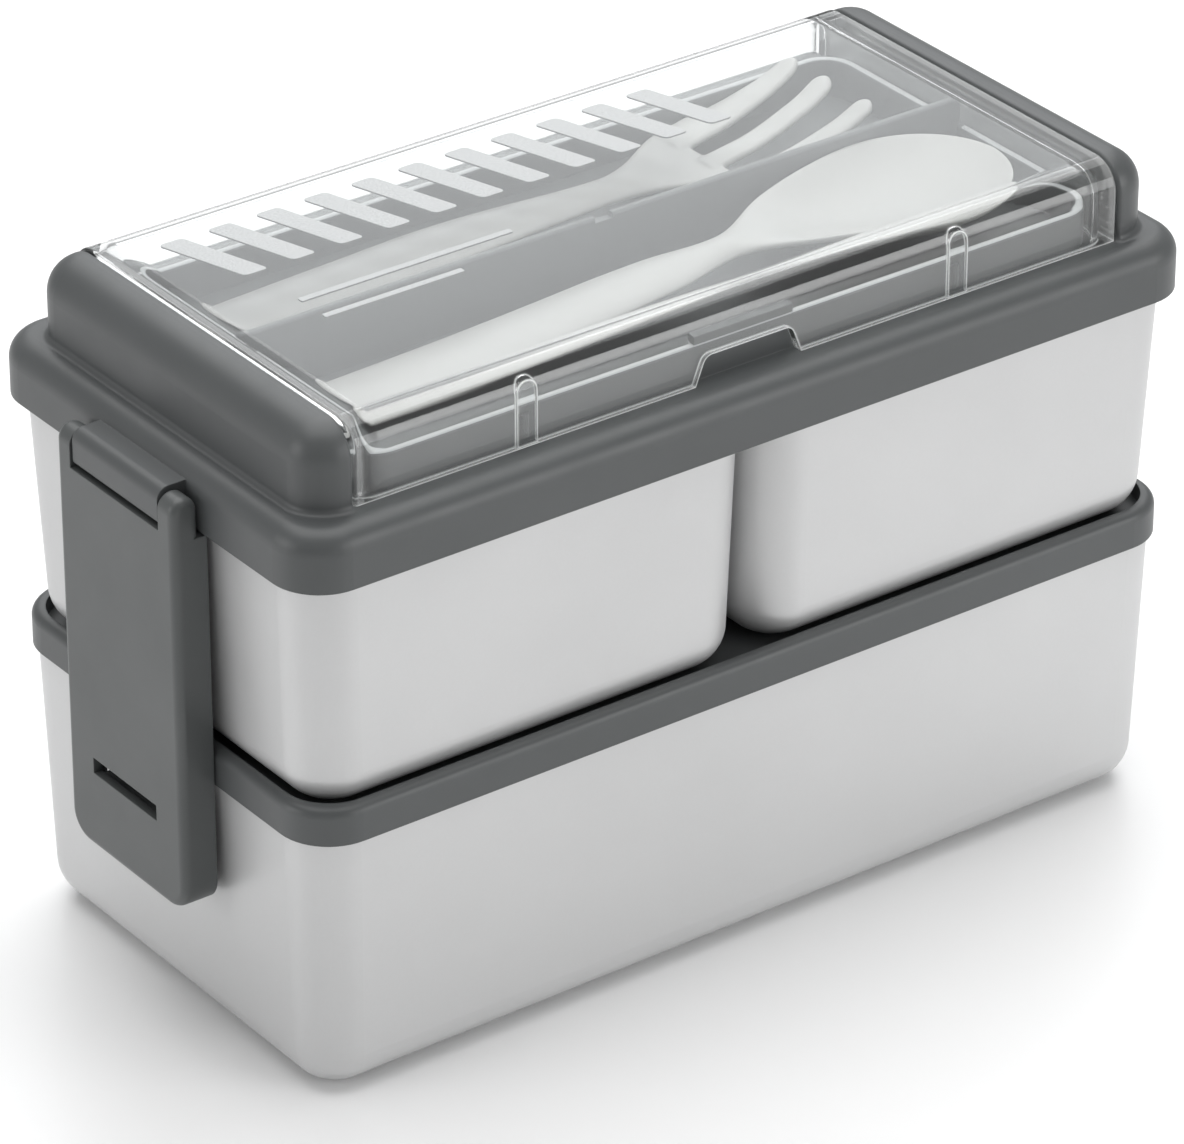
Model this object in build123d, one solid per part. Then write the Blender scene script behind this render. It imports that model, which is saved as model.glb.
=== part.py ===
"""Two-tier bento lunch box with a cutlery tray in its lid, built piece by piece.

Frame: +X runs along the length of the box, -Y is the side with the finger notch,
+Z is up, and the origin is at the centre of the underside. All lengths are in mm.
"""
from build123d import *
from math import hypot
import os

# ---- overall lid -------------------------------------------------------------------
LID_LENGTH = 200.0
LID_WIDTH = 101.2
LID_CORNER_R = 10.0
SKIRT_BOTTOM_Z = 106.2
DECK_Z = 117.6
DECK_THICKNESS = 2.0
SKIRT_WALL = 1.8
SKIRT_TOP_R = 4.5
GAP = 0.3

# ---- end blocks beside the clear cover ---------------------------------------------
BLOCK_INNER_X = 85.4
BLOCK_OUTER_X = 94.2
BLOCK_HALF_Y = 44.4
BLOCK_TOP_Z = 133.5
BLOCK_CROWN_R = 7.0
BLOCK_CORNER_R = 7.6
BLOCK_EDGE_R = 0.8
BLOCK_FOOT_R = 1.2
BLOCK_WALL = 1.8
BLOCK_CAVITY_INSET = 1.6

# ---- clear cover -------------------------------------------------------------------
COVER_HALF_X = 84.9
COVER_HALF_Y = 44.2
COVER_BOTTOM_Z = DECK_Z + GAP
COVER_TOP_Z = 133.5
COVER_WALL = 2.0
COVER_EDGE_R = 6.0
COVER_INNER_END_R = 3.9
COVER_END_R = 0.5
HINGE_R = 2.6
HINGE_Y = COVER_HALF_Y - HINGE_R
HINGE_Z = COVER_BOTTOM_Z + HINGE_R
STUB_R = 1.3
STUB_LENGTH = 2.0
STUB_CLEARANCE = 0.06
NOTCH_HALF_BOTTOM = 12.2
NOTCH_HALF_TOP = 9.6
NOTCH_HEIGHT = 5.6
POCKET_X = 48.1
POCKET_WIDTH = 4.4
POCKET_TOP_Z = 130.4
POCKET_DEPTH = 0.9

# ---- cutlery tray on the deck ------------------------------------------------------
TRAY_HALF_X = 82.4
TRAY_FRONT_Y = -41.6
TRAY_BACK_Y = 37.0
TRAY_WALL = 1.6
TRAY_CORNER_R = 7.0
TRAY_TOP_Z = 125.3
TRAY_RAISED_Z = 126.8
TRAY_RAISED_HALF = 11.0
TRAY_LIP_R = 0.6
DIVIDER_Y = -2.2
DIVIDER_THICKNESS = 1.6
DIVIDER_TOP_Z = 131.0
DIVIDER_NOTCH_X = -1.5
DIVIDER_END_R = 1.8
SNAP_BUMP_R = 1.4
SNAP_BUMP_REACH = 0.9
SNAP_BUMP_Z = (119.0, 123.5)

# ---- boxes -------------------------------------------------------------------------
BOX_WALL = 2.0
BOX_FLOOR = 2.2
BOX_BOTTOM_R = 8.0
LOWER_BASE = (192.2, 93.3, 9.0)
LOWER_TOP = (195.4, 96.6, 9.8)
LOWER_RIM_Z = 56.2
UPPER_BASE_Z = 58.7
UPPER_RIM_Z = 114.4
UPPER_OUTER_X_BASE = 96.0
UPPER_OUTER_X_TOP = 97.8
UPPER_INNER_X_BASE = 1.6
UPPER_INNER_X_TOP = 0.7
UPPER_WIDTH_BASE = 93.0
UPPER_WIDTH_TOP = 96.6
UPPER_CORNER_R = 10.0
RIM_INSET = 0.8
UPPER_WALL_TOP_Z = 106.8

# ---- middle lid --------------------------------------------------------------------
BAND_LENGTH = 197.2
BAND_WIDTH = 98.9
BAND_CORNER_R = 10.5
BAND_BOTTOM_Z = 54.4
BAND_TOP_Z = 61.7
BAND_FLOOR_Z = 58.4
BAND_FLOOR_THICKNESS = 1.4
BAND_RECESS = (192.9, 94.2, 9.4)
BAND_EDGE_R = 1.9
PLUG_WALL = 1.4
PLUG_DEPTH = 4.0
SEAL_GAP = 0.15

# ---- latches -----------------------------------------------------------------------
PIVOT_X = 103.3
PIVOT_Z = 111.0
LATCH_OUTER_X = 106.1
LATCH_HALF_Y = 18.7
LATCH_BOTTOM_Z = 29.5
LATCH_PLATE = 1.8
LATCH_FLANGE = 1.6
LATCH_INNER_X = 99.0
LATCH_INNER_X_HIGH = 100.5
LATCH_STEP_Z = 105.6
LATCH_CORNER_R = 5.5
LATCH_SIDE_R = 1.6
EAR_R = 2.8
EAR_INNER_Y = 14.1
LATCH_NOTCH_Z = 106.8
SLOT_HALF = 10.3
SLOT_Z = (45.7, 48.9)
HOOK_TOP_Z = 45.3
HOOK_INNER_X = 98.9
HOOK_THICKNESS = 1.8
LUG_HALF_Y = 13.6
LUG_OUTER_X = 105.8
LUG_Z = (107.4, 114.6)
LUG_LOWER_R = 1.2
LUG_UPPER_R = 2.4
PIN_R = 1.1
PIN_LENGTH = 35.0
PIN_CLEARANCE = 0.08
RIB_OUTER_X = 99.8
RIB_Z = (46.9, 49.4)
RIB_HALF_Y = 9.8
RIB_ROOT_X = 96.4

# ---- cutlery -----------------------------------------------------------------------
CUTLERY_THICKNESS = 2.0
HANDLE_END_X = -69.0
HANDLE_TIP_X = -75.5
FORK_PROFILE = ((-76.0, 120.8), (-40.0, 121.4), (0.0, 122.8), (25.0, 122.8), (48.0, 122.9),
                (62.0, 125.6), (72.5, 129.3))
FORK_BACK = ((HANDLE_END_X, 27.0), (-40.0, 27.9), (-10.0, 26.4), (5.0, 24.6), (16.0, 23.4),
             (22.0, 25.0), (30.0, 29.0), (40.0, 33.4), (52.0, 34.6), (62.0, 34.9), (70.0, 35.2))
FORK_FRONT = ((70.0, 7.2), (62.0, 6.6), (52.0, 6.8), (40.0, 8.4), (30.0, 11.6), (22.0, 13.6),
              (16.0, 14.4), (5.0, 13.8), (-10.0, 13.0), (-40.0, 12.8), (HANDLE_END_X, 12.8))
FORK_SLOTS = (((36.5, 22.0), (41.6, 25.4), (53.4, 27.6), (64.4, 30.3), (74.0, 32.0),
               (74.0, 26.4), (56.3, 23.2), (48.0, 21.4), (39.6, 19.6)),
              ((37.0, 12.6), (42.0, 14.8), (47.6, 16.0), (55.5, 17.1), (67.2, 19.2), (74.0, 20.4),
               (74.0, 13.0), (61.2, 12.2), (49.3, 11.4), (42.0, 10.9)))
FORK_TINE_TIP_R = 2.0
SPOON_PROFILE = ((-76.0, 120.8), (-40.0, 122.4), (0.0, 125.6), (24.0, 128.0), (36.0, 129.2))
SPOON_BACK = ((HANDLE_END_X, -9.6), (-40.0, -10.2), (-15.0, -10.2), (0.0, -11.3), (8.0, -13.2),
              (14.4, -14.6), (20.4, -12.8), (29.0, -9.0))
SPOON_FRONT = ((29.0, -30.2), (20.4, -24.2), (14.4, -22.0), (8.0, -22.6), (0.0, -24.0),
               (-15.0, -24.8), (-40.0, -24.8), (HANDLE_END_X, -25.0))
BOWL_CENTRE = (50.5, -20.2)
BOWL_RIM_Z = 129.3
BOWL_AXES = (25.0, 17.2, 8.0)


def rounded_block(length, width, radius, z_low, z_high, centre=(0.0, 0.0)):
    """Upright block with rounded vertical corners."""
    sketch = Pos(centre[0], centre[1], z_low) * RectangleRounded(length, width, radius)
    return extrude(sketch, z_high - z_low)


def drafted_block(base, top, z_low, z_high, centre_low=0.0, centre_high=0.0):
    """Block whose rounded rectangular section grows from base to top (length, width, radius)."""
    low = Pos(centre_low, 0, z_low) * RectangleRounded(*base)
    high = Pos(centre_high, 0, z_high) * RectangleRounded(*top)
    return loft([low, high], ruled=True)


def grow(section, amount):
    """The same rounded rectangle, larger all round by amount, or smaller if negative."""
    length, width, radius = section
    return (length + 2 * amount, width + 2 * amount, max(radius + amount, 1.0))


def box_between(x, y, z):
    """Plain block between two corners given as (low, high) pairs."""
    size = (x[1] - x[0], y[1] - y[0], z[1] - z[0])
    return Pos((x[0] + x[1]) / 2, (y[0] + y[1]) / 2, (z[0] + z[1]) / 2) * Box(*size)


def ring(outer, inner, z_low, z_high, centre=(0.0, 0.0)):
    """Flat ring between two rounded rectangles."""
    body = rounded_block(*outer, z_low, z_high, centre)
    return body - rounded_block(*inner, z_low - 1, z_high + 1, centre)


def bottom_edges(solid):
    return solid.faces().sort_by(Axis.Z)[0].edges()


def hollow_box(base, top, z_low, z_wall, z_rim, centre_low=0.0, centre_high=0.0):
    """Open box with drafted walls, a rounded bottom edge and a set-back rim under its lid."""
    outer = drafted_block(base, top, z_low, z_wall, centre_low, centre_high)
    outer = fillet(bottom_edges(outer), BOX_BOTTOM_R)
    cavity = drafted_block(grow(base, -BOX_WALL), grow(top, -BOX_WALL), z_low + BOX_FLOOR, z_rim,
                           centre_low, centre_high)
    cavity = fillet(bottom_edges(cavity), BOX_BOTTOM_R - BOX_WALL)
    rim = rounded_block(*grow(top, -RIM_INSET), z_wall, z_rim, (centre_high, 0.0))
    return outer + rim - cavity


def mirrored(solid):
    """The same piece at the other end of the box."""
    return mirror(solid, about=Plane.YZ)


# ---- lower tier --------------------------------------------------------------------
def make_lower_box():
    box = hollow_box(LOWER_BASE, LOWER_TOP, 0.0, BAND_BOTTOM_Z - GAP, LOWER_RIM_Z)
    rib = box_between((-RIB_OUTER_X, -RIB_ROOT_X), (-RIB_HALF_Y, RIB_HALF_Y), RIB_Z)
    rib = chamfer(rib.edges().filter_by(Axis.Y).sort_by(Axis.X)[:2].sort_by(Axis.Z)[-1], 1.2)
    return box + rib + mirrored(rib)


def make_mid_lid():
    body = rounded_block(BAND_LENGTH, BAND_WIDTH, BAND_CORNER_R, BAND_BOTTOM_Z, BAND_TOP_Z)
    body = fillet(body.faces().sort_by(Axis.Z)[-1].edges(), BAND_EDGE_R)
    body -= rounded_block(*BAND_RECESS, BAND_FLOOR_Z, BAND_TOP_Z + 1)
    underside = BAND_FLOOR_Z - BAND_FLOOR_THICKNESS
    rim = grow(LOWER_TOP, -RIM_INSET)
    body -= rounded_block(*grow(rim, GAP), BAND_BOTTOM_Z - 1, underside)
    plug = grow(LOWER_TOP, -BOX_WALL - GAP)
    body += ring(plug, grow(plug, -PLUG_WALL), LOWER_RIM_Z - PLUG_DEPTH, underside)
    return body


def seal_ring(section, z_low, z_high, centre=0.0):
    """Flat silicone ring that lies over a box rim, round the plug wall of the lid above."""
    outer = grow(section, -RIM_INSET)
    inner = grow(section, -BOX_WALL - GAP + SEAL_GAP)
    return ring(outer, inner, z_low, z_high, (centre, 0.0))


def make_mid_lid_seal():
    return seal_ring(LOWER_TOP, LOWER_RIM_Z + SEAL_GAP, BAND_FLOOR_Z - BAND_FLOOR_THICKNESS)


# ---- upper tier --------------------------------------------------------------------
def upper_section(outer_x, inner_x, width):
    return (outer_x - inner_x, width, UPPER_CORNER_R), -(outer_x + inner_x) / 2


UPPER_TOP, UPPER_TOP_X = upper_section(UPPER_OUTER_X_TOP, UPPER_INNER_X_TOP, UPPER_WIDTH_TOP)
UPPER_BASE, UPPER_BASE_X = upper_section(UPPER_OUTER_X_BASE, UPPER_INNER_X_BASE, UPPER_WIDTH_BASE)


def make_upper_box():
    return hollow_box(UPPER_BASE, UPPER_TOP, UPPER_BASE_Z, UPPER_WALL_TOP_Z, UPPER_RIM_Z,
                      UPPER_BASE_X, UPPER_TOP_X)


def make_lid_seal():
    return seal_ring(UPPER_TOP, UPPER_RIM_Z + SEAL_GAP, DECK_Z - DECK_THICKNESS, UPPER_TOP_X)


# ---- lid ---------------------------------------------------------------------------
def make_end_block():
    """Tall hollow block at the left end of the deck, with a large outer round."""
    block = box_between((-BLOCK_OUTER_X, -BLOCK_INNER_X), (-BLOCK_HALF_Y, BLOCK_HALF_Y),
                        (DECK_Z - DECK_THICKNESS, BLOCK_TOP_Z))
    outer_uprights = block.edges().filter_by(Axis.Z).sort_by(Axis.X)[:2]
    block = fillet(outer_uprights, BLOCK_CORNER_R)
    crown = block.faces().sort_by(Axis.Z)[-1]
    outer_edges = [edge for edge in crown.edges() if edge.center().X < -BLOCK_INNER_X - 0.1]
    block = fillet(outer_edges, BLOCK_CROWN_R)
    inner_edges = [edge for edge in block.edges() if abs(edge.center().X + BLOCK_INNER_X) < 0.01
                   and edge.center().Z > BLOCK_TOP_Z - BLOCK_CROWN_R]
    block = fillet(inner_edges, BLOCK_EDGE_R)
    wall = BLOCK_WALL
    inset = BLOCK_WALL + BLOCK_CAVITY_INSET
    cavity = box_between((-BLOCK_OUTER_X + inset, -BLOCK_INNER_X - wall),
                         (-BLOCK_HALF_Y + inset, BLOCK_HALF_Y - inset),
                         (DECK_Z - DECK_THICKNESS - 1, BLOCK_TOP_Z - inset))
    return block, cavity


def block_foot_edges(lid):
    """Edges where the end blocks meet the deck, on their three outer sides."""
    low_x, high_x = BLOCK_INNER_X + 0.1, BLOCK_OUTER_X + 0.01
    return [edge for edge in lid.edges()
            if abs(edge.center().Z - DECK_Z) < 0.01 and abs(edge.bounding_box().size.Z) < 0.01
            and low_x < abs(edge.center().X) < high_x and abs(edge.center().Y) < BLOCK_HALF_Y + 0.01]


def make_tray():
    """Low wall round the cutlery, a taller stop behind the finger notch, and the divider."""
    depth = TRAY_BACK_Y - TRAY_FRONT_Y
    middle = (TRAY_BACK_Y + TRAY_FRONT_Y) / 2
    outer = (2 * TRAY_HALF_X, depth, TRAY_CORNER_R)
    tray = ring(outer, grow(outer, -TRAY_WALL), DECK_Z - 0.5, TRAY_TOP_Z, (0.0, middle))
    tray = fillet(tray.faces().sort_by(Axis.Z)[-1].edges(), TRAY_LIP_R)
    tray += box_between((-TRAY_RAISED_HALF, TRAY_RAISED_HALF),
                        (TRAY_FRONT_Y, TRAY_FRONT_Y + TRAY_WALL), (DECK_Z, TRAY_RAISED_Z))
    reach = TRAY_HALF_X - TRAY_WALL / 2
    half = DIVIDER_THICKNESS / 2
    divider = box_between((-reach, reach), (DIVIDER_Y - half, DIVIDER_Y + half),
                          (DECK_Z - 0.5, DIVIDER_TOP_Z))
    divider = fillet(divider.edges().filter_by(Axis.Y).group_by(Axis.Z)[-1], DIVIDER_END_R)
    divider = fillet(divider.edges().filter_by(Axis.X).group_by(Axis.Z)[-1], TRAY_LIP_R)
    divider -= Pos(DIVIDER_NOTCH_X, DIVIDER_Y, DIVIDER_TOP_Z) * Box(4.0, 4.0, 2.0)
    for x in (-POCKET_X, POCKET_X):
        centre_y = TRAY_FRONT_Y - SNAP_BUMP_REACH + SNAP_BUMP_R
        height = SNAP_BUMP_Z[1] - SNAP_BUMP_Z[0]
        tray += Pos(x, centre_y, sum(SNAP_BUMP_Z) / 2) * Cylinder(SNAP_BUMP_R, height)
    return tray + divider


def make_lug():
    """Lug on the lid's left end that carries the latch pin."""
    lug = box_between((-LUG_OUTER_X, -LID_LENGTH / 2 + SKIRT_WALL / 2),
                      (-LUG_HALF_Y, LUG_HALF_Y), LUG_Z)
    outer = lug.edges().filter_by(Axis.Y).sort_by(Axis.X)[:2].sort_by(Axis.Z)
    lower_xz = (outer[0].center().X, outer[0].center().Z)
    lug = fillet(outer[1], LUG_UPPER_R)
    low = [e for e in lug.edges().filter_by(Axis.Y)
           if hypot(e.center().X - lower_xz[0], e.center().Z - lower_xz[1]) < 0.01]
    return fillet(low, LUG_LOWER_R)


def pin_solid(radius, length):
    return Pos(-PIVOT_X, 0, PIVOT_Z) * Rot(90, 0, 0) * Cylinder(radius, length)


def hinge_bore(depth):
    """Blind bore in a block's inner face for the cover's pivot stub."""
    centre_x = -BLOCK_INNER_X - depth / 2 + 0.5
    radius = STUB_R + STUB_CLEARANCE
    return Pos(centre_x, HINGE_Y, HINGE_Z) * Rot(0, 90, 0) * Cylinder(radius, depth + 1)


def make_lid():
    lid = rounded_block(LID_LENGTH, LID_WIDTH, LID_CORNER_R, SKIRT_BOTTOM_Z, DECK_Z)
    lid = fillet(lid.faces().sort_by(Axis.Z)[-1].edges(), SKIRT_TOP_R)
    inner = grow((LID_LENGTH, LID_WIDTH, LID_CORNER_R), -SKIRT_WALL)
    underside = DECK_Z - DECK_THICKNESS
    lid -= rounded_block(*inner, SKIRT_BOTTOM_Z - 1, underside)
    plug = grow(UPPER_TOP, -BOX_WALL - GAP)
    plug_ring = ring(plug, grow(plug, -PLUG_WALL), UPPER_RIM_Z - PLUG_DEPTH, underside,
                     (UPPER_TOP_X, 0.0))
    block, cavity = make_end_block()
    lug = make_lug()
    lid = lid + block + mirrored(block)
    lid = fillet(block_foot_edges(lid), BLOCK_FOOT_R)
    for piece in (plug_ring, lug):
        lid = lid + piece + mirrored(piece)
    lid += make_tray()
    for cut in (cavity, hinge_bore(STUB_LENGTH), pin_solid(PIN_R, 2 * LUG_HALF_Y + 1)):
        lid = lid - cut - mirrored(cut)
    return lid


# ---- clear cover -------------------------------------------------------------------
def cover_profile(inset, edge_r, low_z):
    """Side profile of the cover in the YZ plane, front and back walls with rounded top edges."""
    half = COVER_HALF_Y - inset
    top = COVER_TOP_Z - inset
    height = top - low_z
    sketch = Pos(0, low_z + height / 2) * Rectangle(2 * half, height)
    return fillet(sketch.vertices().group_by(Axis.Y)[-1], edge_r)


def extrude_x(sketch, half_length):
    """Extrude a sketch drawn in (Y, Z) along X, both ways."""
    return extrude(Plane.YZ * sketch, half_length, both=True)


def notch_cut():
    """Finger notch in the lower front edge, wider below, with rounded upper corners."""
    top = COVER_BOTTOM_Z + NOTCH_HEIGHT
    outline = Polyline((-NOTCH_HALF_BOTTOM, COVER_BOTTOM_Z - 1), (-NOTCH_HALF_TOP, top),
                       (NOTCH_HALF_TOP, top), (NOTCH_HALF_BOTTOM, COVER_BOTTOM_Z - 1), close=True)
    face = make_face(outline)
    face = fillet(face.vertices().group_by(Axis.Y)[-1], 2.0)
    plane = Plane(origin=(0, -COVER_HALF_Y - 1, 0), x_dir=(1, 0, 0), z_dir=(0, -1, 0))
    return extrude(plane * face, -(COVER_WALL + 3))


def pocket_cut(x):
    """Round-topped channel inside the front wall that takes a snap bump of the tray."""
    wall_y = -COVER_HALF_Y + COVER_WALL
    height = POCKET_TOP_Z - POCKET_WIDTH / 2 - COVER_BOTTOM_Z
    channel = Pos(x, wall_y, COVER_BOTTOM_Z + height / 2) * Box(POCKET_WIDTH, 2 * POCKET_DEPTH, height)
    head = Pos(x, wall_y, COVER_BOTTOM_Z + height) * Rot(90, 0, 0)
    return channel + head * Cylinder(POCKET_WIDTH / 2, 2 * POCKET_DEPTH)


def make_cover():
    shell = extrude_x(cover_profile(0.0, COVER_EDGE_R, COVER_BOTTOM_Z), COVER_HALF_X)
    hollow = extrude_x(cover_profile(COVER_WALL, COVER_EDGE_R - COVER_WALL, COVER_BOTTOM_Z - 1),
                       COVER_HALF_X - COVER_WALL)
    end_edges = [edge for edge in hollow.edges() if abs(edge.center().X) > COVER_HALF_X - COVER_WALL - 0.1
                 and edge.center().Z > COVER_BOTTOM_Z - 0.9]
    shell = fillet([edge for edge in shell.edges() if abs(edge.center().X) > COVER_HALF_X - 0.1
                    and edge.center().Z > COVER_BOTTOM_Z + 0.1], COVER_END_R)
    cover = shell - fillet(end_edges, COVER_INNER_END_R)
    barrel_space = box_between((-COVER_HALF_X - 1, COVER_HALF_X + 1),
                               (HINGE_Y, COVER_HALF_Y + 1), (COVER_BOTTOM_Z - 1, HINGE_Z))
    cover -= barrel_space
    barrel = Pos(0, HINGE_Y, HINGE_Z) * Rot(0, 90, 0) * Cylinder(HINGE_R, 2 * COVER_HALF_X)
    cover += barrel
    cover -= notch_cut()
    for x in (-POCKET_X, POCKET_X):
        cover -= pocket_cut(x)
    for side in (-1, 1):
        centre_x = side * (COVER_HALF_X + STUB_LENGTH / 2 - 0.5)
        cover += Pos(centre_x, HINGE_Y, HINGE_Z) * Rot(0, 90, 0) * Cylinder(STUB_R, STUB_LENGTH + 1)
    return cover


# ---- latches -----------------------------------------------------------------------
def latch_side_profile():
    """Latch seen from its side in the XZ plane: a tall strip with a round ear at the top."""
    strip = Polyline((-LATCH_OUTER_X, LATCH_BOTTOM_Z), (-LATCH_INNER_X, LATCH_BOTTOM_Z),
                     (-LATCH_INNER_X, LATCH_STEP_Z), (-LATCH_INNER_X_HIGH, LATCH_STEP_Z),
                     (-LATCH_INNER_X_HIGH, PIVOT_Z), (-LATCH_OUTER_X, PIVOT_Z), close=True)
    return make_face(strip) + Pos(-PIVOT_X, PIVOT_Z) * Circle(EAR_R)


def latch_rim_edges(latch):
    """Outer rim of the latch: down one long side, round the foot and up the other, with the ears."""
    inner_half = LATCH_HALF_Y - LATCH_CORNER_R
    on_plate = [e for e in latch.edges() if abs(e.center().X + LATCH_OUTER_X) < 0.01
                and (abs(e.center().Y) > LATCH_HALF_Y - 0.01 or e.center().Z < LATCH_BOTTOM_Z + 0.01
                     or (abs(e.center().Y) > inner_half and e.center().Z < LATCH_BOTTOM_Z + LATCH_CORNER_R))]
    on_ears = [e for e in latch.edges() if abs(e.center().Y) > LATCH_HALF_Y - 0.01
               and e.center().Z > PIVOT_Z + 0.01]
    return on_plate + on_ears


def latch_blank():
    """Solid latch with rounded feet and a rounded outer rim, before it is hollowed."""
    plane = Plane(origin=(0, -LATCH_HALF_Y, 0), x_dir=(1, 0, 0), z_dir=(0, -1, 0))
    blank = extrude(plane * latch_side_profile(), -2 * LATCH_HALF_Y)
    feet = [e for e in blank.edges().filter_by(Axis.X)
            if e.center().Z < LATCH_BOTTOM_Z + 0.1 and abs(e.center().Y) > LATCH_HALF_Y - 0.1]
    blank = fillet(feet, LATCH_CORNER_R)
    return fillet(latch_rim_edges(blank), LATCH_SIDE_R)


def latch_hollow():
    """Space behind the latch plate, with rounded lower corners."""
    inner_half = LATCH_HALF_Y - LATCH_FLANGE
    hollow = box_between((-LATCH_OUTER_X + LATCH_PLATE, -LATCH_INNER_X + 1),
                         (-inner_half, inner_half), (LATCH_BOTTOM_Z + LATCH_FLANGE, LATCH_NOTCH_Z - 3))
    feet = hollow.edges().filter_by(Axis.X).group_by(Axis.Z)[0]
    return fillet(feet, LATCH_CORNER_R - LATCH_FLANGE)


def make_latch():
    """Left latch: plate, side flanges, two ears and the hook behind the slot."""
    latch = latch_blank() - latch_hollow()
    latch -= box_between((-LATCH_OUTER_X + LATCH_PLATE, -LATCH_INNER_X + 1),
                         (-EAR_INNER_Y, EAR_INNER_Y), (LATCH_NOTCH_Z - 4, PIVOT_Z + 5))
    latch -= box_between((-LATCH_OUTER_X - 2, -LATCH_INNER_X + 1),
                         (-EAR_INNER_Y, EAR_INNER_Y), (LATCH_NOTCH_Z, PIVOT_Z + 5))
    latch -= box_between((-LATCH_OUTER_X - 1, -LATCH_OUTER_X + LATCH_PLATE + 0.5),
                         (-SLOT_HALF, SLOT_HALF), SLOT_Z)
    hook = box_between((-LATCH_OUTER_X + LATCH_PLATE / 2, -HOOK_INNER_X),
                       (-SLOT_HALF + GAP, SLOT_HALF - GAP), (HOOK_TOP_Z - HOOK_THICKNESS, HOOK_TOP_Z))
    latch += hook
    return latch - pin_solid(PIN_R + PIN_CLEARANCE, PIN_LENGTH + 0.4)


# ---- cutlery -----------------------------------------------------------------------
def profile_band(points, thickness):
    """Side view of bent sheet: a spline through (x, z) points, thickened downwards."""
    top = [(x, z) for x, z in points]
    bottom = [(x, z - thickness) for x, z in reversed(points)]
    upper = Spline(*top)
    lower = Spline(*bottom)
    ends = [Line(upper @ 1, lower @ 0), Line(lower @ 1, upper @ 0)]
    face = make_face([upper, ends[0], lower, ends[1]])
    plane = Plane(origin=(0, 60, 0), x_dir=(1, 0, 0), z_dir=(0, -1, 0))
    return extrude(plane * face, 120)


def flat_outline(back, front):
    """Plan of a handle that widens into a head: two long edges, closed by a round handle end."""
    back_edge = Spline(*back)
    front_edge = Spline(*front)
    tip = (HANDLE_TIP_X, (back[0][1] + front[-1][1]) / 2)
    end = ThreePointArc(front_edge @ 1, tip, back_edge @ 0)
    return make_face([back_edge, Line(back_edge @ 1, front_edge @ 0), front_edge, end])


def bent_plate(outline, profile):
    """Flat plan given thickness and bent to a side profile."""
    plan = extrude(Pos(0, 0, DECK_Z) * outline, BLOCK_TOP_Z - DECK_Z)
    return plan & profile_band(profile, CUTLERY_THICKNESS)


def make_fork():
    outline = flat_outline(FORK_BACK, FORK_FRONT)
    for slot in FORK_SLOTS:
        outline -= make_face(Polyline(*slot, close=True))
    tips = [v for v in outline.vertices() if v.X > FORK_BACK[-1][0] - 0.1]
    return bent_plate(fillet(tips, FORK_TINE_TIP_R), FORK_PROFILE)


def bowl_half(semi_axes):
    """Lower half of an ellipsoid hanging from the bowl's rim."""
    ellipsoid = scale(Sphere(1.0), by=semi_axes)
    placed = Pos(*BOWL_CENTRE, BOWL_RIM_Z) * ellipsoid
    return split(placed, bisect_by=Plane.XY.offset(BOWL_RIM_Z), keep=Keep.BOTTOM)


def make_spoon():
    handle = bent_plate(flat_outline(SPOON_BACK, SPOON_FRONT), SPOON_PROFILE)
    inside = tuple(axis - CUTLERY_THICKNESS for axis in BOWL_AXES)
    return handle + bowl_half(BOWL_AXES) - bowl_half(inside)


def make_pieces():
    """Every node of the assembly by name; the right end is the left end mirrored."""
    left = {
        "upper_box": make_upper_box(),
        "lid_seal": make_lid_seal(),
        "latch": make_latch(),
        "latch_pin": pin_solid(PIN_R, PIN_LENGTH),
    }
    pieces = {
        "lower_box": make_lower_box(),
        "mid_lid": make_mid_lid(),
        "mid_lid_seal": make_mid_lid_seal(),
        "lid": make_lid(),
        "cutlery_cover": make_cover(),
        "fork": make_fork(),
        "spoon": make_spoon(),
    }
    for name, solid in left.items():
        pieces[f"{name}_left"] = solid
        pieces[f"{name}_right"] = mirrored(solid)
    return pieces


os.makedirs("parts", exist_ok=True)
for node, body in make_pieces().items():
    print(node, body.is_valid, len(body.solids()), round(body.volume))
    export_step(body, f"parts/{node}.step")
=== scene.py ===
"""Looks of the bento lunch box: plastics, clear cover, moulded cutlery, studio."""
from math import cos, pi, radians, sin, sqrt
import bpy
import bmesh
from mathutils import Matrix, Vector


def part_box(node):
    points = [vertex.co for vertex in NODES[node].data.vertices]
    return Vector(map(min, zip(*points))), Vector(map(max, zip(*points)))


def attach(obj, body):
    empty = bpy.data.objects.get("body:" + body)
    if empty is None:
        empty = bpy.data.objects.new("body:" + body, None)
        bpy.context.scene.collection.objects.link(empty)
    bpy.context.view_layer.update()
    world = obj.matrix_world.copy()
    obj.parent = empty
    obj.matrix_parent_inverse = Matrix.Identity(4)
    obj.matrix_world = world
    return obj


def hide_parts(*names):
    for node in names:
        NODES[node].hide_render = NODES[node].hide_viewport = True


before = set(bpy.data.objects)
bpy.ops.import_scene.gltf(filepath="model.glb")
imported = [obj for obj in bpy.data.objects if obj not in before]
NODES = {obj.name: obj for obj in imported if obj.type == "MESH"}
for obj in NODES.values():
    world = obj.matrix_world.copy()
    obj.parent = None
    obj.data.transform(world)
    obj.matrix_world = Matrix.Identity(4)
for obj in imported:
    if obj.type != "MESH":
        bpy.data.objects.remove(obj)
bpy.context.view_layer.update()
scene = bpy.context.scene

MM = 0.001

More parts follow.
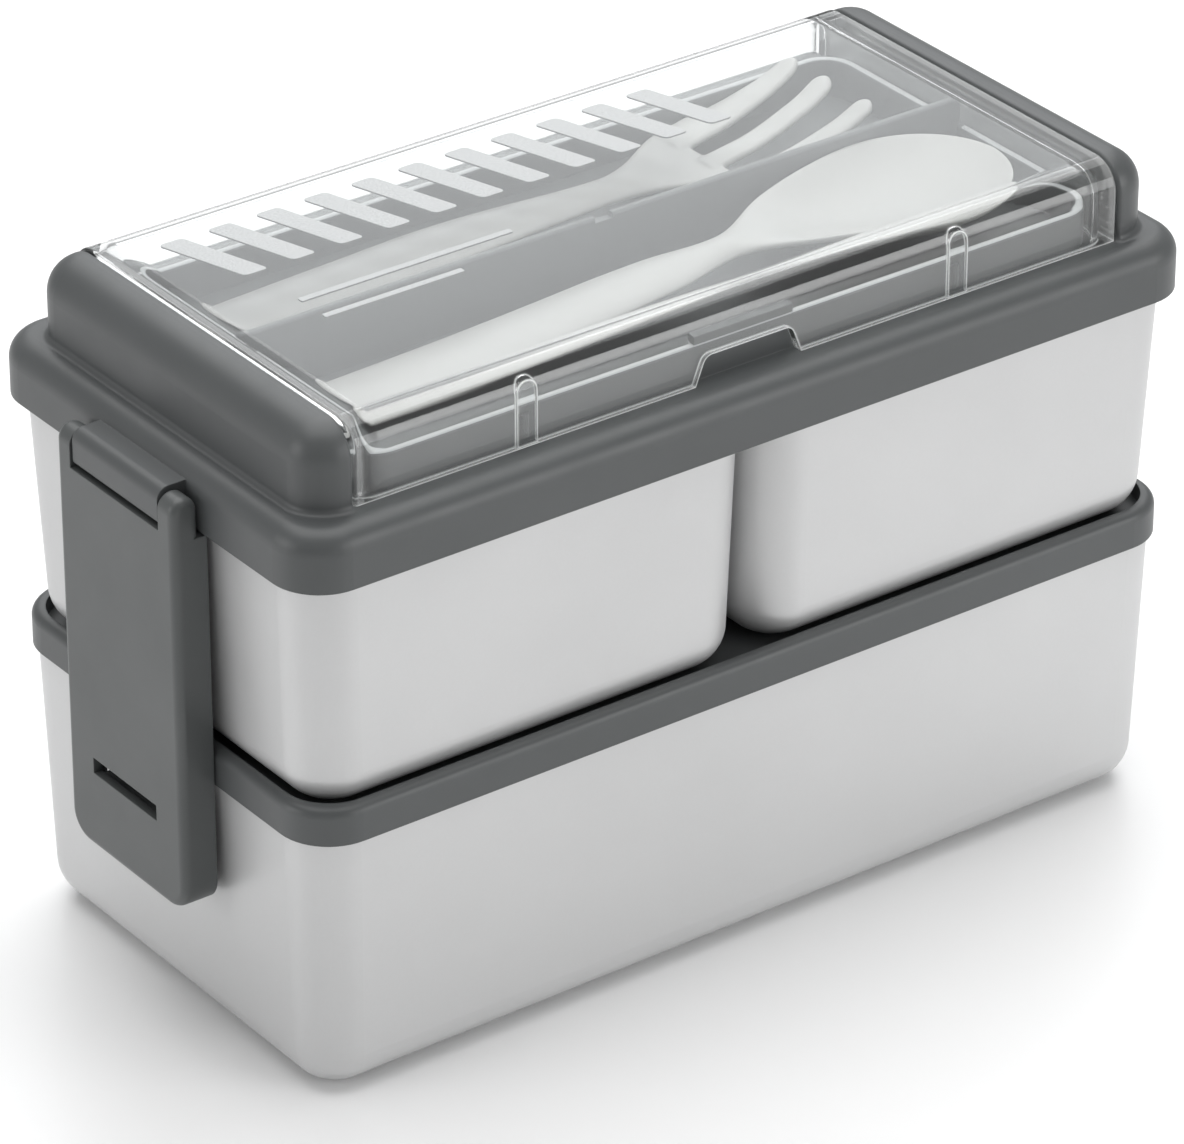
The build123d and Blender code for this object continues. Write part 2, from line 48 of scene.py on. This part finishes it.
# ---- materials ---------------------------------------------------------------------
# Each plastic drifts between two close tones.
DARK_TONES = ((0.076, 0.081, 0.082), (0.087, 0.092, 0.094))
LATCH_TONES = ((0.078, 0.084, 0.084), (0.090, 0.096, 0.096))
PEARL_TONES = ((0.588, 0.590, 0.592), (0.633, 0.635, 0.637))
CUTLERY_TONES = ((0.385, 0.38, 0.368), (0.435, 0.43, 0.418))
# Lighter colour on the tray lip: a painted highlight for the shine of its rounded rim.
LIP_HIGHLIGHT_TONE = (0.44, 0.45, 0.455)
LIP_MIDDLE_Z = 125.25 * MM
LIP_HALF_HEIGHT = 0.16 * MM
TRAY_REACH_X = 82.6 * MM
DIVIDER_Y = -2.2 * MM
DIVIDER_HALF = 1.6 * MM
MOULD_EDGE = 0.3 * MM
SPARK_GRAIN = 0.01 * MM
COVER_EDGE = 0.5 * MM
# The whitish glint along the cover's edges and the stronger end-wall scatter are a painted highlight; the
# darker colour at the back edge is a painted shade. The base level is the cover's faint real scatter.
COVER_GLINT_WIDTH = 1.0 * MM
COVER_GLINT, COVER_HAZE, COVER_END_PAINTED_HIGHLIGHT = 0.85, 0.015, 0.12
COVER_END_WALL = (4.2 * MM, 3.4 * MM)
COVER_BACK_PAINTED_SHADE_Y = (34.0 * MM, 41.0 * MM)


def new_material(name):
    """Material with one Principled shader and object coordinates ready for textures."""
    mat = bpy.data.materials.new(name)
    mat.use_nodes = True
    tree = mat.node_tree
    shader = tree.nodes["Principled BSDF"]
    coords = tree.nodes.new("ShaderNodeTexCoord")
    return mat, tree, shader, coords.outputs["Object"]


def axes_of(tree, coords):
    """X, Y and Z of a position, each as its own output."""
    node = tree.nodes.new("ShaderNodeSeparateXYZ")
    tree.links.new(coords, node.inputs["Vector"])
    return node.outputs


def noise(tree, coords, scale, detail=3.0, roughness=0.5, stretch=None):
    node = tree.nodes.new("ShaderNodeTexNoise")
    node.inputs["Scale"].default_value = scale
    node.inputs["Detail"].default_value = detail
    node.inputs["Roughness"].default_value = roughness
    if stretch:
        mapping = tree.nodes.new("ShaderNodeMapping")
        mapping.inputs["Scale"].default_value = stretch
        tree.links.new(coords, mapping.inputs["Vector"])
        coords = mapping.outputs["Vector"]
    tree.links.new(coords, node.inputs["Vector"])
    return node.outputs["Fac"]


def remap(tree, value, low, high, start=0.3, end=0.7):
    """Value from start to end turned into low to high, held at both ends."""
    node = tree.nodes.new("ShaderNodeMapRange")
    node.inputs["From Min"].default_value = start
    node.inputs["From Max"].default_value = end
    node.inputs["To Min"].default_value = low
    node.inputs["To Max"].default_value = high
    tree.links.new(value, node.inputs["Value"])
    return node.outputs["Result"]


def ramp(tree, value, stops):
    """Colour that runs through the stops, each a position and a colour."""
    node = tree.nodes.new("ShaderNodeValToRGB")
    elements = node.color_ramp.elements
    elements[0].position, elements[0].color = stops[0][0], (*stops[0][1], 1.0)
    elements[1].position, elements[1].color = stops[-1][0], (*stops[-1][1], 1.0)
    for position, colour in stops[1:-1]:
        elements.new(position).color = (*colour, 1.0)
    tree.links.new(value, node.inputs["Fac"])
    return node.outputs["Color"]


def bump(tree, height, distance, strength=1.0, normal=None):
    node = tree.nodes.new("ShaderNodeBump")
    node.inputs["Distance"].default_value = distance
    node.inputs["Strength"].default_value = strength
    tree.links.new(height, node.inputs["Height"])
    if normal is not None:
        tree.links.new(normal, node.inputs["Normal"])
    return node.outputs["Normal"]


def rounded_edges(tree, radius, samples=4):
    """Normal that rounds sharp edges off by the radius."""
    node = tree.nodes.new("ShaderNodeBevel")
    node.samples = samples
    node.inputs["Radius"].default_value = radius
    return node.outputs["Normal"]


def maths(tree, operation, first, second=None, third=None):
    """One Math node; each operand is a number or another node's output."""
    node = tree.nodes.new("ShaderNodeMath")
    node.operation = operation
    for socket, value in zip(node.inputs, (first, second, third)):
        if isinstance(value, float):
            socket.default_value = value
        elif value is not None:
            tree.links.new(value, socket)
    return node.outputs["Value"]


def lip_highlight_mask(tree, coords):
    """1 on the lip of the cutlery tray, which gets a lighter colour as a painted highlight; 0 elsewhere on
    the lid.
    """
    axes = axes_of(tree, coords)
    at_height = maths(tree, "COMPARE", axes["Z"], LIP_MIDDLE_Z, LIP_HALF_HEIGHT)
    inside = maths(tree, "LESS_THAN", maths(tree, "ABSOLUTE", axes["X"]), TRAY_REACH_X)
    divider = maths(tree, "COMPARE", axes["Y"], DIVIDER_Y, DIVIDER_HALF)
    rim = maths(tree, "SUBTRACT", inside, divider)
    return maths(tree, "MULTIPLY", at_height, maths(tree, "MAXIMUM", rim, 0.0))


def moulded_plastic(name, tones, rough, edge=MOULD_EDGE, lip=False, metallic=0.0):
    """Injection-moulded plastic: faint tone drift, a fine spark-eroded grain, soft edges; with lip, a
    painted highlight on the tray lip.
    """
    mat, tree, shader, coords = new_material(name)
    drift = noise(tree, coords, 14.0, 4.0)
    speckle = noise(tree, coords, 2200.0, 2.0)
    tone = maths(tree, "MULTIPLY_ADD", speckle, 0.18, drift)
    stops = [(0.35, tones[0]), (0.75, tones[1])]
    # Painted highlight: the tray lip is moved up the ramp to the lighter lip colour.
    if lip:
        tone = maths(tree, "MULTIPLY_ADD", lip_highlight_mask(tree, coords), 1.0, tone)
        tone = maths(tree, "MULTIPLY", tone, 0.5)
        stops = [(0.18, tones[0]), (0.38, tones[1]), (0.6, LIP_HIGHLIGHT_TONE)]
    tree.links.new(ramp(tree, tone, stops), shader.inputs["Base Color"])
    scuff = noise(tree, coords, 60.0, 6.0, 0.65)
    tree.links.new(remap(tree, scuff, *rough), shader.inputs["Roughness"])
    texture = noise(tree, coords, 4200.0, 2.0, 0.6)
    normal = rounded_edges(tree, edge) if edge else None
    tree.links.new(bump(tree, texture, SPARK_GRAIN, 0.35, normal), shader.inputs["Normal"])
    shader.inputs["Metallic"].default_value = metallic
    return mat


def silicone():
    """Matte off-white silicone rubber of the sealing rings."""
    mat, tree, shader, coords = new_material("seal_silicone")
    tone = ramp(tree, noise(tree, coords, 40.0), [(0.3, (0.62, 0.62, 0.60)), (0.7, (0.72, 0.72, 0.70))])
    tree.links.new(tone, shader.inputs["Base Color"])
    tree.links.new(remap(tree, noise(tree, coords, 300.0), 0.5, 0.65), shader.inputs["Roughness"])
    shader.inputs["Subsurface Weight"].default_value = 0.2
    shader.inputs["Subsurface Radius"].default_value = (0.002, 0.002, 0.002)
    tree.links.new(bump(tree, noise(tree, coords, 900.0), 0.00002, 0.5), shader.inputs["Normal"])
    return mat


def drawn_steel():
    """Drawn steel wire of the latch pins, with lines along the pin."""
    mat, tree, shader, coords = new_material("pin_steel")
    lines = noise(tree, coords, 900.0, 4.0, 0.6, (1.0, 0.03, 1.0))
    tree.links.new(ramp(tree, lines, [(0.3, (0.50, 0.50, 0.51)), (0.7, (0.66, 0.66, 0.67))]),
                   shader.inputs["Base Color"])
    shader.inputs["Metallic"].default_value = 1.0
    tree.links.new(remap(tree, lines, 0.22, 0.36), shader.inputs["Roughness"])
    tree.links.new(bump(tree, lines, 0.00001, 0.5), shader.inputs["Normal"])
    return mat


def edge_share(tree, radius, strength, base):
    """Factor that rises from base at flat faces to base + strength along sharp edges."""
    face = tree.nodes.new("ShaderNodeNewGeometry")
    dot = tree.nodes.new("ShaderNodeVectorMath")
    dot.operation = "DOT_PRODUCT"
    tree.links.new(rounded_edges(tree, radius, 8), dot.inputs[0])
    tree.links.new(face.outputs["Normal"], dot.inputs[1])
    return remap(tree, dot.outputs["Value"], base + strength, base, 0.78, 0.995)


def mix_shaders(tree, share, first, second):
    node = tree.nodes.new("ShaderNodeMixShader")
    tree.links.new(share, node.inputs["Fac"])
    tree.links.new(first, node.inputs[1])
    tree.links.new(second, node.inputs[2])
    return node.outputs["Shader"]


def cover_scatter_and_painted_light(tree, coords):
    """Scatter in the clear plastic: where it shows, and the shader that makes it.

    It is strongest along sharp edges, where a whitish diffuse is mixed in as a painted highlight. By
    position, it is a little stronger in the end walls, also a painted highlight, and its colour darkens at
    the back edge as a painted shade; a faint real scatter lies all over.
    """
    axes = axes_of(tree, coords)
    glint_and_scatter = tree.nodes.new("ShaderNodeBsdfDiffuse")
    # Painted shade: the colour darkens towards the back edge.
    tone = ramp(tree, remap(tree, axes["Y"], 0.0, 1.0, *COVER_BACK_PAINTED_SHADE_Y),
                [(0.0, (0.93, 0.94, 0.94)), (1.0, (0.16, 0.165, 0.165))])
    tree.links.new(tone, glint_and_scatter.inputs["Color"])
    half_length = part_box("cutlery_cover")[1][0]
    wall_start, wall_full = (half_length - depth for depth in COVER_END_WALL)
    # Painted highlight: a little more whitish diffuse in the end walls.
    end_wall_highlight = remap(tree, maths(tree, "ABSOLUTE", axes["X"]), 0.0, COVER_END_PAINTED_HIGHLIGHT, wall_start, wall_full)
    # Painted highlight along sharp edges, over the faint real scatter everywhere.
    edges = edge_share(tree, COVER_GLINT_WIDTH, COVER_GLINT, COVER_HAZE)
    return maths(tree, "ADD", edges, end_wall_highlight), glint_and_scatter.outputs["BSDF"]


def clear_plastic():
    """Polished transparent polystyrene with a trace of scatter and light-catching edges, their glint
    partly a painted highlight.
    """
    mat, tree, shader, coords = new_material("clear_plastic")
    shader.inputs["Base Color"].default_value = (0.945, 0.955, 0.955, 1.0)
    shader.inputs["Transmission Weight"].default_value = 1.0
    shader.inputs["IOR"].default_value = 1.5
    wear = noise(tree, coords, 120.0, 5.0, 0.6)
    tree.links.new(remap(tree, wear, 0.0, 0.02), shader.inputs["Roughness"])
    soft = rounded_edges(tree, COVER_EDGE, 8)
    ripple = bump(tree, noise(tree, coords, 30.0, 1.0), 0.01 * MM, 0.2, soft)
    tree.links.new(ripple, shader.inputs["Normal"])
    share, glint_and_scatter = cover_scatter_and_painted_light(tree, coords)
    # Mixes in the painted highlights and the painted shade.
    body = mix_shaders(tree, share, shader.outputs["BSDF"], glint_and_scatter)
    clear = tree.nodes.new("ShaderNodeBsdfTransparent")
    clear.inputs["Color"].default_value = (0.93, 0.94, 0.935, 1.0)
    path = tree.nodes.new("ShaderNodeLightPath")
    unseen = maths(tree, "MAXIMUM", path.outputs["Is Shadow Ray"], path.outputs["Is Diffuse Ray"])
    surface = mix_shaders(tree, unseen, body, clear.outputs["BSDF"])
    tree.links.new(surface, tree.nodes["Material Output"].inputs["Surface"])
    return mat


DARK = moulded_plastic("dark_plastic", DARK_TONES, (0.36, 0.46))
# The lid has the painted highlight on its tray lip.
LID = moulded_plastic("lid_plastic", DARK_TONES, (0.36, 0.46), lip=True)
DARK_LATCH = moulded_plastic("latch_plastic", LATCH_TONES, (0.34, 0.44))
TUB = moulded_plastic("container_plastic", PEARL_TONES, (0.36, 0.44), metallic=0.4)
CUTLERY = moulded_plastic("cutlery_plastic", CUTLERY_TONES, (0.32, 0.44), edge=0.0)
SILICONE = silicone()
STEEL = drawn_steel()
CLEAR = clear_plastic()
FINISH = {
    "lower_box": TUB, "upper_box_left": TUB, "upper_box_right": TUB,
    "mid_lid": DARK, "lid": LID, "latch_left": DARK_LATCH, "latch_right": DARK_LATCH,
    "mid_lid_seal": SILICONE, "lid_seal_left": SILICONE, "lid_seal_right": SILICONE,
    "latch_pin_left": STEEL, "latch_pin_right": STEEL,
    "cutlery_cover": CLEAR, "fork": CUTLERY, "spoon": CUTLERY,
}
for node, mat in FINISH.items():
    slots = NODES[node].data.materials
    if not slots:
        slots.append(mat)
    for index in range(len(slots)):
        slots[index] = mat

# ---- moulded cutlery ----------------------------------------------------------------
# Sizes are in mm. A list of pairs gives a height, or a y of an outline, at each x.
# Each tine has its back and its front edge at the three TINE_STATIONS.
RING = 36
END_STEPS = 12
STATION_STEP = 1.0
LEAST_SHARE = 0.02
END_THINNING = 0.45
HANDLE_ROUND = 6.5
FORK_SPAN = (-76.0, 70.5)
FORK_TOP = [(-76, 121), (-40, 121.5), (0, 123), (46, 123), (62, 125.5), (71, 129)]
FORK_BACK = [(-76, 26.5), (-30, 28), (16, 23.5), (22, 25), (36, 32.5), (48, 35)]
FORK_FRONT = [(-76, 13), (-40, 12.5), (-10, 13), (16, 14.5), (22, 14), (36, 9.5), (48, 7)]
PALM_END = 39.0
TINE_STATIONS = (35, 48, 71)
TINES = [
    ((32, 35, 35.5), (23, 26.5, 31)),
    ((19, 21.5, 26), (13, 16, 20.5)),
    ((10.5, 11.5, 13), (8, 6.5, 8)),
]
TINE_START = 36.0
TINE_TIP = 2.6
VOXEL = 0.32
SPOON_SPAN = (-76.0, 75.5)
SPOON_TOP = [(-76, 121), (-40, 122.5), (0, 125.5), (30, 128.5), (48, 129.5), (75.5, 129.5)]
SPOON_BACK = [(-76, -9.5), (-15, -10.5), (0, -11.5), (14, -14.5), (30, -8), (42, -5), (56, -3),
              (75.5, -3)]
SPOON_FRONT = [(-76, -24.5), (-40, -25), (0, -24), (14, -22), (30, -29), (42, -34.5), (56, -37.5),
               (75.5, -37.5)]
BOWL_ROUND = 19.5


def interpolate(table, x):
    """Smooth value at x from (x, value) pairs, by a monotone cubic."""
    if x <= table[0][0]:
        return table[0][1]
    if x >= table[-1][0]:
        return table[-1][1]
    index = next(i for i in range(len(table) - 1) if x <= table[i + 1][0])
    (x0, y0), (x1, y1) = table[index], table[index + 1]

    def slope(i):
        if i in (0, len(table) - 1):
            other = 1 if i == 0 else i - 1
            return (table[other][1] - table[i][1]) / (table[other][0] - table[i][0])
        left = (table[i][1] - table[i - 1][1]) / (table[i][0] - table[i - 1][0])
        right = (table[i + 1][1] - table[i][1]) / (table[i + 1][0] - table[i][0])
        return 0.0 if left * right <= 0 else 2 * left * right / (left + right)

    t = (x - x0) / (x1 - x0)
    h = x1 - x0
    return ((2 * t**3 - 3 * t**2 + 1) * y0 + (t**3 - 2 * t**2 + t) * h * slope(index)
            + (-2 * t**3 + 3 * t**2) * y1 + (t**3 - t**2) * h * slope(index + 1))


def section(x, back, front, top, thickness, crown, dish, square):
    """Closed ring across the piece: crowned or dished, with rounded edges."""
    half, middle = (back - front) / 2, (back + front) / 2
    points = []
    for step in range(RING):
        angle = 2 * pi * step / RING
        across, up = cos(angle), sin(angle)
        base = top - thickness / 2 + (crown - dish) * (1 - across**2)
        lift = thickness / 2 * (abs(up) ** square) * (1 if up >= 0 else -1)
        points.append((x * MM, (middle + half * across) * MM, (base + lift) * MM))
    return points


def loft(sections):
    """Faces between rings, closed with a fan at each end."""
    mesh = bmesh.new()
    rings = [[mesh.verts.new(point) for point in ring] for ring in sections]
    for low, high in zip(rings, rings[1:]):
        for step in range(RING):
            after = (step + 1) % RING
            mesh.faces.new((low[step], low[after], high[after], high[step]))
    for ring in (rings[0], rings[-1]):
        centre = sum((v.co for v in ring), Vector()) / RING
        hub = mesh.verts.new(centre)
        for step in range(RING):
            mesh.faces.new((ring[step], ring[(step + 1) % RING], hub))
    bmesh.ops.recalc_face_normals(mesh, faces=mesh.faces)
    return mesh


def stations(start, end, step, round_start=0.0, round_end=0.0):
    """Positions along x, closer together where an end is rounded off."""
    places = []
    for count in range(END_STEPS):
        depth = 1 - cos(pi / 2 * count / END_STEPS)
        if round_start:
            places.append(start + round_start * depth)
        if round_end:
            places.append(end - round_end * depth)
    x = start + round_start
    while x <= end - round_end + 1e-6:
        places.append(x)
        x += step
    return sorted(set(round(p, 4) for p in places))


def end_share(x, start, end, round_start, round_end):
    """How much of its full width a rounded-off end has at x."""
    share = 1.0
    if round_start and x < start + round_start:
        share = sqrt(max(0.0, 1 - ((start + round_start - x) / round_start) ** 2))
    if round_end and x > end - round_end:
        share = min(share, sqrt(max(0.0, 1 - ((x - end + round_end) / round_end) ** 2)))
    return max(share, LEAST_SHARE)


def strip(outline, shape, span, ends):
    """Loft of a long thin piece; outline gives its edges and shape its section along x."""
    sections = []
    for x in stations(*span, STATION_STEP, *ends):
        share = end_share(x, *span, *ends)
        back, front = (interpolate(edge, x) for edge in outline)
        middle, half = (back + front) / 2, (back - front) / 2 * share
        values = {key: interpolate(table, x) for key, table in shape.items()}
        thickness = values["thickness"] * (END_THINNING + (1 - END_THINNING) * share)
        top = values["top"] - (values["thickness"] - thickness) / 2
        crown, dish = values["crown"] * share, values["dish"] * share**2
        sections.append(section(x, middle + half, middle - half, top, thickness, crown, dish,
                                values["square"]))
    return loft(sections)


def object_from(name, meshes):
    """One object from several bmesh pieces."""
    whole = bpy.data.meshes.new(name)
    joined = bmesh.new()
    for mesh in meshes:
        part = bpy.data.meshes.new("part")
        mesh.to_mesh(part)
        joined.from_mesh(part)
        bpy.data.meshes.remove(part)
        mesh.free()
    joined.to_mesh(whole)
    joined.free()
    obj = bpy.data.objects.new(name, whole)
    scene.collection.objects.link(obj)
    return obj


def apply_modifiers(obj):
    """Replace the object's mesh by what its modifiers make of it."""
    graph = bpy.context.evaluated_depsgraph_get()
    final = bpy.data.meshes.new_from_object(obj.evaluated_get(graph))
    obj.modifiers.clear()
    obj.data = final


def finish_cutlery(obj, body, node):
    """Shade it smooth and let it stand in for the plain CAD node."""
    for face in obj.data.polygons:
        face.use_smooth = True
    obj.data.materials.clear()
    obj.data.materials.append(CUTLERY)
    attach(obj, body)
    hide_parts(node)


def make_fork():
    """Handle and palm with three tines, blended into one moulding."""
    palm_shape = {
        "top": FORK_TOP,
        "thickness": [(-76, 2.0), (0, 2.2), (20, 2.3), (48, 1.9)],
        "crown": [(-76, 0.5), (-20, 0.9), (16, 0.8), (30, 0.2), (48, 0.0)],
        "dish": [(-76, 0.0), (16, 0.0), (30, 0.5), (48, 0.6)],
        "square": [(-76, 0.75), (16, 0.75), (30, 0.5), (48, 0.5)],
    }
    palm = strip((FORK_BACK, FORK_FRONT), palm_shape, (FORK_SPAN[0], PALM_END),
                 (HANDLE_ROUND, 0.0))
    tine_shape = {
        "top": FORK_TOP,
        "thickness": [(35, 1.9), (70, 1.8)],
        "crown": [(35, 0.0), (45, 0.25), (71, 0.25)],
        "dish": [(35, 0.0), (71, 0.0)],
        "square": [(35, 0.5), (71, 0.6)],
    }
    tines = [strip([list(zip(TINE_STATIONS, edge)) for edge in edges], tine_shape,
                   (TINE_START, FORK_SPAN[1]), (0.0, TINE_TIP)) for edges in TINES]
    fork = object_from("moulded_fork", [palm, *tines])
    remesh = fork.modifiers.new("blend", "REMESH")
    remesh.mode = "VOXEL"
    remesh.voxel_size = VOXEL * MM
    smooth = fork.modifiers.new("soften", "CORRECTIVE_SMOOTH")
    smooth.iterations = 6
    smooth.use_only_smooth = True
    apply_modifiers(fork)
    finish_cutlery(fork, "fork", "fork")


def make_spoon():
    """Handle that widens into a shallow bowl with a half-round end."""
    shape = {
        "top": SPOON_TOP,
        "thickness": [(-76, 2.0), (0, 2.2), (18, 2.4), (40, 1.8), (76, 1.6)],
        "crown": [(-76, 0.5), (-20, 0.9), (12, 0.8), (26, 0.1), (34, 0.0)],
        "dish": [(14, 0.0), (22, 0.8), (32, 3.2), (44, 5.6), (56, 6.0)],
        "square": [(-76, 0.75), (14, 0.75), (34, 0.5), (76, 0.5)],
    }
    blank = strip((SPOON_BACK, SPOON_FRONT), shape, SPOON_SPAN, (HANDLE_ROUND, BOWL_ROUND))
    spoon = object_from("moulded_spoon", [blank])
    smooth = spoon.modifiers.new("finer", "SUBSURF")
    smooth.levels = 1
    apply_modifiers(spoon)
    finish_cutlery(spoon, "spoon", "spoon")


# ---- frosted relief under the top of the clear cover ----------------------------------
# Places and sizes are in mm.
COVER_THICKNESS = 1.98
RELIEF_HEIGHT = 0.32
BAR_COUNT = 11
BAR_PITCH = 10.4
BAR_START_X = -68.0
BAR_MIDDLE_Y = 24.5
BAR_LENGTH = 19.0
BAR_WIDTH = 5.0
BAR_LEAN = -6.0
LINES = ((-42.0, 1.5, 46.0), (-50.0, -6.0, 30.0))
LINE_WIDTH = 1.4
CORNER_SHARE = 0.18
CORNER_STEPS = 4


def frosted():
    """Finely blasted clear plastic, seen as a pale silvery surface."""
    mat, tree, shader, coords = new_material("frosted_relief")
    grain = noise(tree, coords, 2600.0, 3.0, 0.7)
    tree.links.new(ramp(tree, grain, [(0.35, (0.36, 0.365, 0.37)), (0.65, (0.54, 0.545, 0.55))]),
                   shader.inputs["Base Color"])
    tree.links.new(remap(tree, grain, 0.4, 0.6), shader.inputs["Roughness"])
    tree.links.new(bump(tree, grain, 0.00003, 0.7), shader.inputs["Normal"])
    return mat


def bar(mesh, centre, length, width, lean, heights):
    """One flat bar with slightly rounded corners, leaning along x over its length."""
    corner = min(width, length) * CORNER_SHARE
    outline = []
    for side_x, side_y, start in ((-1, -1, pi), (1, -1, 1.5 * pi), (1, 1, 0.0), (-1, 1, 0.5 * pi)):
        for turn in range(CORNER_STEPS + 1):
            angle = start + pi / 2 * turn / CORNER_STEPS
            across = side_x * (width / 2 - corner) + corner * cos(angle)
            along = side_y * (length / 2 - corner) + corner * sin(angle)
            outline.append((centre[0] + across + lean * along / length, centre[1] + along))
    low, high = ([mesh.verts.new((x * MM, y * MM, z * MM)) for x, y in outline] for z in heights)
    mesh.faces.new(high)
    mesh.faces.new(low[::-1])
    for step in range(len(outline)):
        after = (step + 1) % len(outline)
        side = mesh.faces.new((low[step], low[after], high[after], high[step]))
        # Painted shade: the bars' sides take the dark plastic, standing in for their shaded dark outlines.
        side.material_index = 1


def make_relief():
    """Plain row of frosted bars and two thin lines, in place of any wording."""
    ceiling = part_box("cutlery_cover")[1][2] / MM - COVER_THICKNESS
    heights = (ceiling - RELIEF_HEIGHT, ceiling)
    mesh = bmesh.new()
    for count in range(BAR_COUNT):
        centre = (BAR_START_X + BAR_PITCH * count, BAR_MIDDLE_Y)
        bar(mesh, centre, BAR_LENGTH, BAR_WIDTH, BAR_LEAN, heights)
    for x, y, length in LINES:
        bar(mesh, (x, y), LINE_WIDTH, length, 0.0, heights)
    relief = object_from("frosted_bars", [mesh])
    relief.data.materials.append(frosted())
    # Second slot, on the bars' sides: dark plastic as a painted shade for their outlines.
    relief.data.materials.append(DARK)
    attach(relief, "cutlery_cover")


make_fork()
make_spoon()
make_relief()

# ---- floor, light and camera --------------------------------------------------------
FLOOR_HALF = 6.0
FLOOR_GAP = 0.2 * MM
OBJECT_MIDDLE = (0.0, 0.0, 0.06)
LIGHTS = (
    # name, place, target, size, power, colour
    ("overhead_softbox", (0.15, 0.25, 1.15), (0.05, 0.1, 0.0), (1.5, 1.5), 17.0, (1.0, 1.0, 1.0)),
    ("back_softbox", (1.1, 1.5, 1.15), (0.0, 0.0, 0.08), (1.5, 1.3), 8.2, (0.955, 0.98, 1.0)),
    ("left_softbox", (-1.45, 0.45, 0.45), OBJECT_MIDDLE, (0.8, 0.7), 4.8, (1.0, 1.0, 1.0)),
    ("right_softbox", (0.85, -1.45, 0.5), OBJECT_MIDDLE, (1.0, 0.8), 9.5, (1.0, 1.0, 1.0)),
)
WORLD_STRENGTH = 0.3
CAMERA_AZIMUTH = radians(-36.415)
CAMERA_ELEVATION = radians(29.577)
CAMERA_TARGET = Vector((-0.000968, 0.001438, 0.055963))
CAMERA_DISTANCE = 1.30748
CAMERA_LENS = 213.08
CAMERA_SENSOR = 36.0


def studio_floor():
    """Wide pale floor just under the box."""
    mat, tree, shader, coords = new_material("studio_floor")
    tone = ramp(tree, noise(tree, coords, 3.0), [(0.3, (0.96, 0.96, 0.96)), (0.7, (0.98, 0.98, 0.98))])
    tree.links.new(tone, shader.inputs["Base Color"])
    tree.links.new(remap(tree, noise(tree, coords, 8.0), 0.28, 0.34), shader.inputs["Roughness"])
    mesh = bpy.data.meshes.new("floor")
    reach = FLOOR_HALF
    corners = [(-reach, -reach, 0), (reach, -reach, 0), (reach, reach, 0), (-reach, reach, 0)]
    mesh.from_pydata(corners, [], [(0, 1, 2, 3)])
    floor = bpy.data.objects.new("floor", mesh)
    floor.location.z = -FLOOR_GAP
    mesh.materials.append(mat)
    scene.collection.objects.link(floor)


def area_light(name, place, target, size, power, colour):
    data = bpy.data.lights.new(name, "AREA")
    data.shape = "RECTANGLE"
    data.size, data.size_y = size
    data.energy = power
    data.color = colour
    lamp = bpy.data.objects.new(name, data)
    lamp.location = place
    lamp.rotation_mode = "QUATERNION"
    lamp.rotation_quaternion = (Vector(target) - Vector(place)).to_track_quat("-Z", "Y")
    scene.collection.objects.link(lamp)


def add_lights():
    """Softboxes above, behind, left and front right, in a dim even room."""
    for light in LIGHTS:
        area_light(*light)
    world = bpy.data.worlds.new("studio_world")
    world.use_nodes = True
    background = world.node_tree.nodes["Background"]
    background.inputs["Color"].default_value = (1.0, 1.0, 1.0, 1.0)
    background.inputs["Strength"].default_value = WORLD_STRENGTH
    scene.world = world


def add_camera():
    flat = cos(CAMERA_ELEVATION)
    back = Vector((sin(CAMERA_AZIMUTH) * flat, -cos(CAMERA_AZIMUTH) * flat, sin(CAMERA_ELEVATION)))
    data = bpy.data.cameras.new("camera")
    data.sensor_width = CAMERA_SENSOR
    data.lens = CAMERA_LENS
    data.clip_start, data.clip_end = 0.01, 50.0
    camera = bpy.data.objects.new("camera", data)
    camera.location = CAMERA_TARGET + back * CAMERA_DISTANCE
    camera.rotation_mode = "QUATERNION"
    camera.rotation_quaternion = (-back).to_track_quat("-Z", "Y")
    scene.collection.objects.link(camera)
    scene.camera = camera


studio_floor()
add_lights()
add_camera()
scene.view_settings.view_transform = "Standard"
